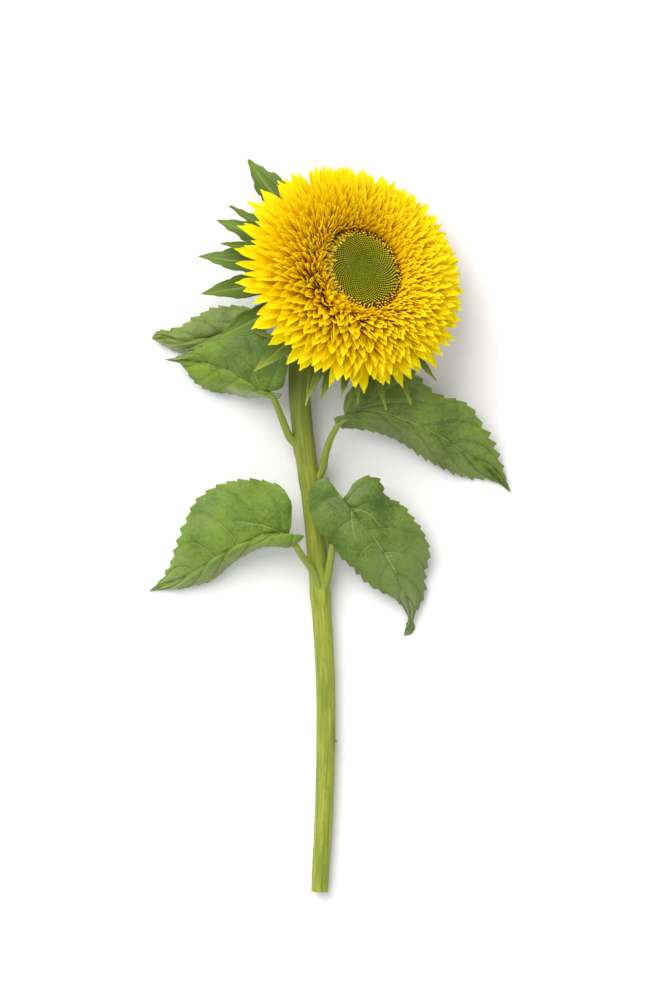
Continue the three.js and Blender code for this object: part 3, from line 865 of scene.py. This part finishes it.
def makeEye():
    dice = random.Random(5)
    profile = [(0, head["seat"]), (eye["radius"], head["seat"])]
    for share in (1, 0.9, 0.8, 0.65, 0.5, 0.25, 0):
        radius = eye["radius"] * share
        profile.append((radius, eyeSurface(radius) - eye["bedDepth"]))
    bm, layers = turned(profile, eye["steps"])
    for vert in bm.verts:
        vert[layers["rank"]] = hypot(vert.co.x, vert.co.y) / eye["radius"]
    for face in bm.faces:
        face.material_index = 1
    small, layers = newSheet()
    bmesh.ops.create_uvsphere(small, u_segments=6, v_segments=4, radius=1)
    for vert in small.verts:
        vert[layers["grain"]] = vert.co
        narrowed = 1 - eye["pointed"] * max(vert.co.z, 0)
        vert.co.x *= narrowed
        vert.co.y *= narrowed
    bud = bpy.data.meshes.new("bud")
    small.to_mesh(bud)
    small.free()

    def addBud(place, turn, size, rank):
        copy = bud.copy()
        copy.transform(Matrix.Translation(place) @ turn.to_4x4() @ Matrix.Diagonal((*size, 1)))
        for name, value in (("rank", rank), ("chance", dice.random())):
            copy.attributes[name].data.foreach_set("value", [value] * len(copy.vertices))
        bm.from_mesh(copy)
        bpy.data.meshes.remove(copy)

    # buds, each set off from the last by the golden angle
    radius, i = eye["firstRadius"], 0
    while radius < eye["budRadius"]:
        share = radius / eye["budRadius"]
        gap = lerp(eye["firstGap"], eye["lastGap"], share) + 0.3 * between(share, 0.88, 1)
        azimuth = i * goldenAngle
        lean = upright.lerp(about(azimuth, 1, 0, 0), 0.25 * share - 0.1)
        turn = upright.rotation_difference(lean).to_matrix()
        thick = gap * 0.5 * dice.uniform(0.92, 1.06)
        tall = gap * lerp(0.55, 1.0, share)
        base = about(azimuth, radius, 0, eyeSurface(radius) - 0.1)
        addBud(base, turn, (thick, thick, tall), share * 0.84)
        radius = sqrt(radius * radius + eye["packing"] * gap * gap / pi)
        i += 1
    print("buds:", i)
    # half-open florets round the rim, leaning over the buds on one side
    for k in range(eye["rods"] * eye["rodRows"]):
        row = k % eye["rodRows"]
        azimuth = 2 * pi * (k + dice.uniform(-0.9, 0.9)) / (eye["rods"] * eye["rodRows"])
        inward = 0.5 + 0.5 * cos(azimuth - radians(eye["rodSide"]))
        radius = eye["budRadius"] + 0.5 + eye["rowGap"] * row + dice.uniform(-0.35, 0.35)
        tall = lerp(*eye["rodTall"], inward ** 3) * dice.uniform(0.6, 1.25)
        tipIn = lerp(*eye["rodLean"], inward ** 2)
        lean = upright - about(azimuth, tipIn, dice.gauss(0, 0.3), 0)
        turn = upright.rotation_difference(lean).to_matrix()
        thick = dice.uniform(*eye["rodThick"]) * lerp(1, eye["rodSwell"], inward ** 3)
        base = about(azimuth, radius, 0, eyeSurface(radius) + 0.1)
        base += lean.normalized() * tall * 0.8
        addBud(base, turn, (thick, thick, tall), dice.uniform(0.86, 1))
    bpy.data.meshes.remove(bud)
    finishPiece("eye_buds", bm, fromHead, [budLook(), budBedLook()], ["eye_of_buds"])


makeReceptacle()
makeEye()
print("receptacle and eye made")


# bracts: pointed green scales round the back of the head

bracts = {
    # azimuth, row, length, width, how far the tip bends back, how far it sweeps round
    "scales": [
        (98, 1, 33, 11, -6, 0), (127, 0, 57, 18, 5, -9), (147, 0, 44, 7, 6, -5),
        (149, 1, 49, 13, 0, -2), (161, 0, 40, 7, 8, 4), (168, 1, 52, 13, 4, -3),
        (186, 0, 50, 12, 6, 0), (204, 0, 51, 12, 8, 2), (226, 0, 43, 12, 6, -3),
        (247, 0, 42, 9, 2, 6), (259, 1, 36, 9, 0, 0), (267, 0, 33, 7, 0, -3),
        (279, 1, 36, 7, 0, 0), (287, 0, 40, 6.5, 0, 3), (303, 0, 43, 6.5, 0, -3),
        (318, 0, 41, 7, -2, 0), (335, 1, 36, 11, -12, 0), (356, 1, 34, 11, -12, 0),
        (22, 0, 31, 11, -12, 0), (48, 0, 31, 11, -12, 0), (76, 0, 33, 11, -8, 0),
    ],
    "rows": (109, 121),
    "widths": [(0, 0.7), (0.25, 0.95), (0.6, 1.05), (0.8, 0.6), (0.92, 0.22), (1, 0.03)],
    "fineWidths": [(0, 0.7), (0.25, 0.95), (0.55, 0.85), (0.78, 0.45), (0.9, 0.18), (1, 0.03)],
    "fineTipped": range(8, 16),
    "toothed": {1: 7, 3: 3, 5: 4, 6: 3, 7: 4},  # how many teeth a side on a scale that has them
    "thickness": 0.4,
    "cup": 1.1,
    "fold": 1.3,
    "columns": 10,
    "rowCount": 24,
    "greens": {  # deep, fresh and pale tones
        "bract inside": ((0.06, 0.12, 0.008), (0.125, 0.215, 0.022), (0.27, 0.36, 0.1)),
        "bract outside": ((0.075, 0.145, 0.015), (0.15, 0.245, 0.035), (0.3, 0.38, 0.13)),
    },
}


def bractLook(name, deep, fresh, pale):
    look = Look(name, roughness=0.58, specular=0.3, scatter=0.06, scatterReach=1 * mm)
    across, share = look.sheetPlace()
    off = look.maths("ABSOLUTE", look.minus(across, 0.5))
    streaks = look.sheetStreaks((7, 1.6, 40))
    colour = look.shades(streaks, (0.3, deep), (0.7, fresh))
    nerves = look.maths("SINE", look.times(off, 50))
    shaded = [tone * 0.4 for tone in deep]  # at the foot, between the other bracts
    colour = look.blend(look.fade(nerves, 0.6, 1, 0, 0.12), colour, pale)
    # painted shade: the bracts darken towards their feet, under the florets and between each other
    colour = look.blend(look.fade(share, 0.85, 0.45, 0, 0.65), colour, shaded)
    colour = look.blend(look.fade(off, 0.09, 0.0, 0, 0.4), colour, pale)
    ripe = look.times(look.fade(share, 0.72, 1, 0.1, 0.8), look.painted("rank"))
    colour = look.blend(ripe, colour, (0.4, 0.45, 0.05))
    height = look.plus(look.times(nerves, 0.25), streaks)
    return look.finish(colour, height, 0.35, 0.6)


def makeBracts():
    dice = random.Random(3)
    inside, outside = [bractLook(name, *tones) for name, tones in bracts["greens"].items()]
    for i, (azimuth, row, length, width, bend, sweep) in enumerate(bracts["scales"]):
        slope = radians(bracts["rows"][row])
        teeth = bracts["toothed"].get(i, 0)
        fineTipped = i in bracts["fineTipped"]
        blade = Blade(
            radians(azimuth), slope, slope + radians(bend), length, width,
            bracts["fineWidths" if fineTipped else "widths"], cup=bracts["cup"],
            sweep=tan(radians(sweep)), wave=dice.uniform(0.3, 1.0),
            wavePhase=dice.uniform(0, 6), fold=bracts["fold"], rows=bracts["rowCount"],
        )

        def scale(across, share):
            place = blade(across, share)
            edge = max(abs(across) - 0.55, 0) / 0.45
            rough = 0.8 * ripple(place, 5, i) * edge
            if teeth:
                size = (0.4 + 0.22 * teeth) * edge * between(share, 0.9, 0.6)
                rough += size * ((share * teeth) % 1 - 0.4)
            outward = place - blade(0, share)
            if outward.length > 0.01:
                place += outward.normalized() * rough
            place.z += 0.9 * ripple(place, 8, i + 20) * abs(across)
            return place

        bm, _ = newSheet()
        rank = 1 if fineTipped else 0.25  # how yellow the tip is
        addSheet(
            bm, bracts["columns"], bracts["rowCount"], scale, bracts["thickness"], rank,
            dice.random(), under=1,
        )
        finishPiece(
            f"green_bract_{i + 1:02d}", bm, fromHead, [inside, outside],
            [f"bract_{i + 1:02d}"],
        )


makeBracts()
print("bracts made")


# leaves: a toothed blade between its margins, with sunken veins, on a round stalk

leafMake = {
    "thickness": 0.35,
    "columns": 60,
    "rowsPerTooth": 6,
    "ends": 0.004,  # how far short of base and tip the blade stops
    "stalkRadius": 2.1,
    # the stalk runs down into the stem: how far below the joint it starts, and where
    "rootReach": 13,
    "rootAside": 0.45,
    "rootDepth": 0.6,
    "groove": 0.6,
    "puff": 0.4,
    "pleat": 0.18,
    "edgeDrop": 0.8,
    "lumps": ((0.9, 16, 0), (0.4, 6, 3)),  # height, size and seed of its unevenness
}
# node is the share of the stem where the leaf grows. Points are measured from the stem's middle
# there, and both margins run from the base round a lobe to the tip. crown and toothDepth are given
# for the left and the right half. Each wash is a paler patch, some of them painted sheen: which half
# (0 for both), the shares of the length and of the half's width between which it comes up, its
# strength and its colour.
leaves = {
    "leaf_lower_left": {
        "node": 0.4745, "crown": (3, 2), "teeth": 21, "toothDepth": (0.6, 1.9), "veins": 6, "rise": 0.3,
        "wave": 0.9, "deep": (0.05, 0.115, 0.004), "fresh": (0.14, 0.235, 0.016),
        "bloom": (0.2, 0.27, 0.07), "bloomShare": 0.4,
        "washes": [
            (-1, (0.1, 0.3), (0.1, 0.5), 0.7, (0.27, 0.32, 0.1)),
            (0, (0.6, 0.9), (0.8, 0.2), 0.5, (0.22, 0.28, 0.1)),
        ],
        "petiole": [
            (0, 0.7, 3), (-2.1, 7.8, 4.5), (-5.6, 15.4, 7.5), (-10.4, 22, 11), (-15, 29, 13.6),
            (-22, 33.6, 14.6),
        ],
        "midrib": [
            (-17, 33.2, 15), (-27.2, 34, 16), (-40.3, 29.4, 15), (-56.5, 20.9, 10.5),
            (-70.4, 11.6, 4.5), (-83, 6.1, -1.5), (-94.5, 1.8, -6.3),
        ],
        "leftMargin": [
            (-17, 32.6, 15), (-8.4, 32.6, 20), (-16, 26.4, 14), (-24.5, 26.3, 9), (-33, 25.4, 5),
            (-44.7, 19.5, 1.5), (-54, 12, -1), (-63.3, 5.9, -3.5), (-72, 4, -4.8),
            (-82, 2.9, -5.8), (-94.5, 1.8, -6.3),
        ],
        "rightMargin": [
            (-17, 33.6, 15), (-15.5, 41, 18), (-15.7, 52, 20), (-21, 59.5, 20), (-28.5, 62.1, 19.5),
            (-40.3, 63.8, 18), (-54, 60.6, 15), (-66.5, 53, 11), (-73, 42, 8), (-77, 31, 5),
            (-81, 19.5, 1), (-85.5, 10, -3), (-94.5, 1.8, -6.3),
        ],
    },
    "leaf_lower_right": {
        "node": 0.4745, "crown": (2, 2.5), "teeth": 22, "toothDepth": (1.5, 1.5), "veins": 6, "rise": 0.3,
        "wave": 1.1, "deep": (0.042, 0.095, 0.005), "fresh": (0.12, 0.2, 0.018),
        "bloom": (0.17, 0.22, 0.08), "bloomShare": 0.4,
        # painted sheen near the tip, along the midrib
        "washes": [(0, (0.6, 0.85), (0.6, 0.1), 0.7, (0.22, 0.26, 0.14))],
        "petiole": [
            (2, 1, 2), (4.5, 13, 5), (6.5, 27, 9), (8, 40, 13), (10, 48, 15), (15, 46.5, 16),
        ],
        "midrib": [
            (9.2, 50.4, 16), (14.6, 47.5, 17), (22.4, 40.7, 17), (30.2, 30, 15), (38, 18.3, 11),
            (44, 7, 6.5), (48.7, -5, 1.5), (49.7, -12, -1.8), (49.2, -18, -4), (45.6, -22.6, -6.5),
        ],
        "leftMargin": [
            (9.6, 50.6, 16), (13, 53.5, 17), (18, 61.5, 17), (25.3, 65.6, 15), (32, 63.5, 13),
            (36, 54.4, 11.5), (44, 50.3, 9), (50.5, 42.5, 7.5), (57, 33, 5), (59.5, 24, 2.5),
            (57.5, 13, 0), (57.2, 2, -2.5), (53.5, -7, -4.2), (51.1, -12.3, -4.8),
            (51.9, -18.4, -5.6), (50, -21.4, -6.2), (45.6, -22.6, -6.5),
        ],
        "rightMargin": [
            (8.8, 50.3, 16), (5, 57, 18), (3, 64.3, 19), (-4, 61.5, 19), (-7, 53, 18), (-5, 43, 16),
            (1, 32, 13.5), (9.7, 22.6, 10.5), (17, 15.5, 8), (26, 6.5, 4.5), (38.9, -0.5, 1),
            (45, -6.2, -1), (48.2, -12.2, -3.2), (46.8, -18, -5), (45.6, -22.6, -6.5),
        ],
    },
    "leaf_upper_left": {
        "node": 0.715, "crown": (2, 3), "teeth": 16, "toothDepth": (1.0, 1.4), "veins": 5, "rise": 0.3,
        "wave": 0.8, "deep": (0.045, 0.105, 0.003), "fresh": (0.14, 0.235, 0.012),
        "bloom": (0.15, 0.21, 0.05), "bloomShare": 0.35,
        "washes": [
            (-1, (0.95, 0.7), (1.0, 0.75), 0.75, (0.2, 0.3, 0.012)),
            (-1, (0.6, 0.3), (0.45, 0.7), 0.95, (0.36, 0.4, 0.22)),
            (0, (0.8, 0.95), (1.2, 0.6), 0.8, (0.28, 0.33, 0.16)),
        ],
        "petiole": [
            (-3.5, -1, 2), (-8, 4.5, 4), (-12, 14, 7.5), (-14.8, 21, 10), (-18, 27, 12),
            (-25, 30, 13),
        ],
        "midrib": [
            (-18.1, 29, 13.5), (-25, 30, 14.5), (-31, 34, 14.5), (-37, 38, 13.5), (-42.5, 40.7, 12),
            (-50, 43, 9.5), (-58, 45.3, 6), (-65, 46.6, 2.5), (-76.3, 46.8, -2.5),
        ],
        "leftMargin": [
            (-17.5, 28.6, 13.5), (-12, 27.5, 13), (-14.5, 24.8, 9), (-22, 25, 5), (-33, 26.2, 1),
            (-41, 27.6, -1.5), (-53.4, 29.8, -3.8), (-60, 34.5, -3.8), (-65, 41, -3.4),
            (-69, 45, -3), (-76.3, 46.8, -2.7),
        ],
        "rightMargin": [
            (-17.5, 29.4, 13.5), (-12, 31, 15), (-9.2, 37.5, 19), (-9, 44, 21), (-12.5, 51, 22),
            (-20, 56.5, 21), (-28, 59, 19.5), (-38, 60, 17), (-48, 57.5, 14), (-57.5, 53, 9),
            (-65, 49.6, 4), (-76.3, 46.8, -2.3),
        ],
    },
    "leaf_upper_right": {
        "node": 0.662, "crown": (2.5, 2), "teeth": 21, "toothDepth": (1.9, 1.2), "veins": 6, "rise": 0.34,
        "wave": 1.0, "deep": (0.045, 0.09, 0.005), "fresh": (0.15, 0.235, 0.024),
        "bloom": (0.17, 0.21, 0.08), "bloomShare": 0.35,
        "washes": [
            # painted sheen: a paler, greyish lower half near the base
            (1, (0.1, 0.3), (0.1, 0.6), 0.55, (0.2, 0.24, 0.08)),
            (0, (0.5, 0.95), (0, 0.8), 0.6, (0.16, 0.23, 0.03)),
        ],
        "petiole": [
            (4.3, -2, 1.5), (7.5, 5, 3), (8.5, 11, 5), (10.3, 17.5, 8), (13, 24, 10.5),
            (17, 30, 12.4), (24, 34.6, 13.6),
        ],
        "midrib": [
            (19.7, 33.2, 13.8), (29, 36.6, 15.5), (38, 36, 16), (49.6, 32.5, 14.5), (62.2, 27.7, 11),
            (73.3, 21.8, 7), (85, 14.1, 2.5), (97, 6, -3), (111, -8.2, -8.4),
        ],
        "leftMargin": [
            (19.7, 33.6, 13.8), (18.5, 39, 14.5), (20.5, 46, 13.5), (26, 53, 12), (34, 58, 10),
            (45, 60.5, 8), (57, 58, 6.5), (63.5, 51, 6.5), (71, 45.5, 6.5), (81, 43, 6),
            (89, 38, 5), (94.5, 29, 3), (100, 20.5, 0), (104.3, 9.5, -3.8), (111, -8.1, -8.4),
        ],
        "rightMargin": [
            (19.5, 32.8, 13.8), (14, 33, 16), (14.2, 29.8, 13), (18, 27.2, 10), (24, 26.8, 8),
            (34.5, 25.5, 6), (49, 20, 3.5), (61.5, 11.7, 0.5), (76, 4, -3.5), (89.5, -0.3, -6.2),
            (98, -0.3, -7.4), (104.5, -2.8, -8), (111, -8.1, -8.4),
        ],
    },
    "leaf_topmost": {
        "node": 0.87, "crown": (1.5, 2), "teeth": 13, "toothDepth": (0.8, 1.2), "veins": 5, "rise": 0.3,
        "wave": 1.2, "deep": (0.08, 0.13, 0.012), "fresh": (0.165, 0.23, 0.04),
        "bloom": (0.25, 0.3, 0.12), "bloomShare": 0.6,
        "washes": [(-1, (0.3, 0.6), (0.3, 0.8), 0.7, (0.36, 0.41, 0.22))],
        "petiole": [
            (-3, -1, 0), (-7, 2, 0.5), (-14, 4.8, 0), (-26, 9, -0.5),
        ],
        "midrib": [
            (-19.4, 8.9, 0.5), (-29, 9.6, 0), (-37, 9, -1), (-50.6, 6.2, -3.5), (-64.2, 4, -5),
            (-75, 6, -8.5), (-82.3, 5.6, -9.6),
        ],
        "leftMargin": [
            (-19.4, 8.4, 0.5), (-22, 2, -1.5), (-34, -1, -3.5), (-50.6, -2, -6.5), (-61.5, -2.4, -8),
            (-70.5, -1, -10.7), (-77.2, 3, -10.6), (-82.3, 5.4, -9.8),
        ],
        "rightMargin": [
            (-19.4, 9.2, 0.5), (-17.5, 15, 2), (-24, 21, 2), (-35.9, 23.2, 0.5), (-46, 22.8, -2),
            (-55.5, 18.9, -6.5), (-64, 14, -9), (-71, 10.5, -9.4), (-79.2, 9.8, -9),
            (-82.3, 5.8, -9.4),
        ],
    },
}
baseNerve = {"reach": 0.6, "widest": 0.6, "bend": 0.85}  # the two strong veins beside the midrib


def leafLook(name, leaf, deep, fresh, bloom, vein, sunken=1.0):
    look = Look(name, specular=0.35, scatter=0.07, scatterReach=1 * mm)
    across, share = look.sheetPlace()
    place = look.objectPlace()
    signed = look.minus(across, 0.5)
    off = look.times(look.maths("ABSOLUTE", signed), 2)
    swept = look.times(look.maths("POWER", off, 1.15), leaf["rise"])
    phase = look.times(look.minus(share, swept), leaf["veins"])
    phase = look.plus(phase, look.times(look.maths("GREATER_THAN", signed, 0), 0.5))
    phase = look.swayed(phase, look.speckle(place, 70, 2), 0.5, 0.12)
    toVein = look.maths("ABSOLUTE", look.minus(look.maths("FRACT", phase), 0.5))
    side = look.times(look.fade(toVein, 0.03, 0.006), look.fade(off, 0.9, 0.1, 0, 0.55))
    reach = look.maths("POWER", look.maths("DIVIDE", share, baseNerve["reach"]), baseNerve["bend"])
    toNerve = look.maths("ABSOLUTE", look.minus(off, look.times(reach, baseNerve["widest"])))
    nerve = look.times(look.fade(toNerve, 0.022, 0.006), look.fade(share, 0.45, 0.08))
    midrib = look.times(look.fade(off, 0.026, 0.008), look.fade(share, 1, 0.4, 0.2, 0.9))
    mesh = look.fade(look.cells(place, 420), 0.07, 0.02, 0, 0.1)
    network = look.maths("MAXIMUM", look.maths("MAXIMUM", side, nerve), midrib)
    patches = look.speckle(place, 45, 4)
    fine = look.speckle(place, 420, 3)
    grit = look.speckle(place, 1000, 3)
    blotch = look.plus(look.times(patches, 0.7), look.times(fine, 0.3))
    blotch = look.swayed(blotch, grit, 0.5, 0.35)
    # painted shade: a darker band beside each vein, where the blade creases
    blotch = look.plus(blotch, look.fade(toVein, 0.01, 0.13, -0.05, 0.02))
    colour = look.shades(blotch, (0.36, deep), (0.62, fresh))
    # pale grey patches: partly the leaf's bloom, partly painted sheen
    soft = look.speckle(place, 28, 4)
    colour = look.blend(look.fade(soft, 0.45, 0.68, 0, leaf["bloomShare"]), colour, bloom)
    for half, (alongStart, alongEnd), (offStart, offEnd), amount, tone in leaf["washes"]:
        wash = look.fade(share, alongStart, alongEnd, 0, amount)
        wash = look.times(wash, look.fade(off, offStart, offEnd))
        wash = look.times(wash, look.fade(blotch, 0.36, 0.6, 0.5, 1))
        if half:
            wash = look.times(wash, look.fade(signed, 0, 0.05 * half))
        colour = look.blend(wash, colour, tone)
    colour = look.blend(look.fade(off, 0.9, 1, 0, 0.35), colour, fresh)
    colour = look.blend(mesh, colour, vein)
    colour = look.blend(look.times(network, 0.8), colour, vein)
    height = look.times(look.maths("MAXIMUM", network, mesh), -sunken)
    height = look.plus(height, look.plus(fine, look.times(grit, 0.5)))
    rough = look.fade(patches, 0.35, 0.65, 0.42, 0.62)
    return look.finish(colour, height, 0.45, 0.8, rough)


def stalkLook():
    look = Look("leaf stalk", roughness=0.5, specular=0.3, scatter=0.08, scatterReach=1.5 * mm)
    grain = look.painted("grain", "Vector")
    streaks = look.drawnOut(grain, (1.6, 1.6, 0.07))
    colour = look.shades(streaks, (0.3, (0.15, 0.21, 0.018)), (0.7, (0.29, 0.34, 0.06)))
    return look.finish(colour, streaks, 0.3, 0.6)


def bladeShape(leaf, node, seed):
    # the blade's surface: rungs from the midrib to the margins, then teeth, veins and waves
    midrib = Route([node + Vector(p) for p in leaf["midrib"]])
    margins = [Route([node + Vector(p) for p in leaf[key]]) for key in ("leftMargin", "rightMargin")]
    rows = leaf["teeth"] * leafMake["rowsPerTooth"]
    dice = random.Random(seed)
    toothSizes = [[dice.uniform(0.5, 1.5) for _ in range(leaf["teeth"] + 1)] for _ in margins]
    rungs = []
    for row in range(rows + 1):
        share = lerp(leafMake["ends"], 1 - leafMake["ends"], row / rows)
        left, right = [margin.at(share) for margin in margins]
        forward = midrib.heading(share)
        up = forward.cross(left - right).normalized()
        rungs.append((midrib.at(share), (left, right), forward, up))

    def shape(across, share):
        centre, ends, forward, up = rungs[round(share * rows)]
        side = 1 if across > 0 else 0
        off = abs(across)
        margin = ends[side]
        width = (margin - centre).length
        rounded = 4 * share * (1 - share) * 4 * off * (1 - off)
        place = centre.lerp(margin, off) + up * leaf["crown"][side] * rounded
        window = between(share, 0, 0.08) * between(share, 1, 0.93)
        # teeth grow slowly and end in a notch
        tooth = share * leaf["teeth"]
        growth = (tooth + 1e-4) % 1
        size = leaf["toothDepth"][side] * toothSizes[side][int(tooth + 1e-4)]
        size *= between(share, 0.02, 0.15)
        size *= 1.4 * between(share, 1, 0.88) * max((off - 0.85) / 0.15, 0) ** 1.5
        outward = (margin - centre).normalized()
        place += outward * size * (growth - 0.4) + forward * size * growth * 0.7
        # veins
        phase = leaf["veins"] * (share - leaf["rise"] * off ** 1.15) + 0.5 * side
        toVein = abs(phase % 1 - 0.5) * midrib.length / leaf["veins"]
        toNerve = width * abs(
            off - baseNerve["widest"] * (share / baseNerve["reach"]) ** baseNerve["bend"]
        )
        nerve = between(share, baseNerve["reach"], 0.3)
        groove = 1.3 * bell(off * width, 1.3) + 0.9 * bell(toVein, 0.9) * (1 - 0.5 * off)
        groove += bell(toNerve, 1.1) * nerve
        relief = leafMake["puff"] * (1 - bell(toVein, 2.5)) - leafMake["groove"] * groove
        relief += leafMake["pleat"] * sin(2 * pi * phase) * between(off, 0, 0.3)
        relief += sum(
            height * ripple(place, size, seed + more) for height, size, more in leafMake["lumps"]
        )
        relief += leaf["wave"] * off * off * sin(30 * share + 2 * side + seed)
        relief -= leafMake["edgeDrop"] * off ** 6
        place += up * relief * window
        place.z = max(place.z, 0.8 - foot.z / mm)
        return place

    return shape, rungs


def makeLeaf(name, leaf, seed, stalk):
    node = stemRoute.at(leaf["node"])
    shape, rungs = bladeShape(leaf, node, seed)
    rows = len(rungs) - 1
    bm, _ = newSheet()
    addSheet(bm, leafMake["columns"], rows, shape, leafMake["thickness"], under=1)
    x, y, z = leaf["petiole"][0]
    start = (x * leafMake["rootAside"], y - leafMake["rootReach"], z - leafMake["rootDepth"])
    petiole = Route([node + Vector(p) for p in (start, *leaf["petiole"])])

    def stalkRadius(share, angle):
        # thin where it runs into the stem, widest just above and narrowing to the blade
        plain = leafMake["stalkRadius"] * (1.3 - 0.65 * share)
        return plain * lerp(0.3, 1, between(share, -0.05, 0.28)) + 0.08 * cos(6 * angle)

    addTube(bm, petiole, stalkRadius, 16, 34, material=2)
    everySixth = rungs[2:int(rows * 0.92):6]
    rib = Route([centre - up * 2 for centre, _, _, up in everySixth], steps=4)
    addTube(bm, rib, lambda s, a: lerp(1.2, 0.35, s ** 0.6), 10, 40, material=2)
    title = name.replace("_", " ")
    top = leafLook(title, leaf, leaf["deep"], leaf["fresh"], leaf["bloom"], (0.3, 0.36, 0.09))
    under = leafLook(
        title + " under side", leaf, (0.15, 0.21, 0.05), (0.22, 0.29, 0.09), (0.28, 0.33, 0.15),
        (0.34, 0.4, 0.14), sunken=-1,
    )
    finishPiece(name + "_blade", bm, fromFoot, [top, under, stalk], [name])


stalk = stalkLook()
for seed, (name, leaf) in enumerate(leaves.items()):
    makeLeaf(name, leaf, seed + 1, stalk)
print("leaves made")


bpy.data.meshes.remove(spareMesh)
triangles = sum(
    len(face.vertices) - 2
    for item in bpy.data.objects if item.type == "MESH" and not item.hide_render
    for face in item.data.polygons
)
print("triangles shown:", triangles)
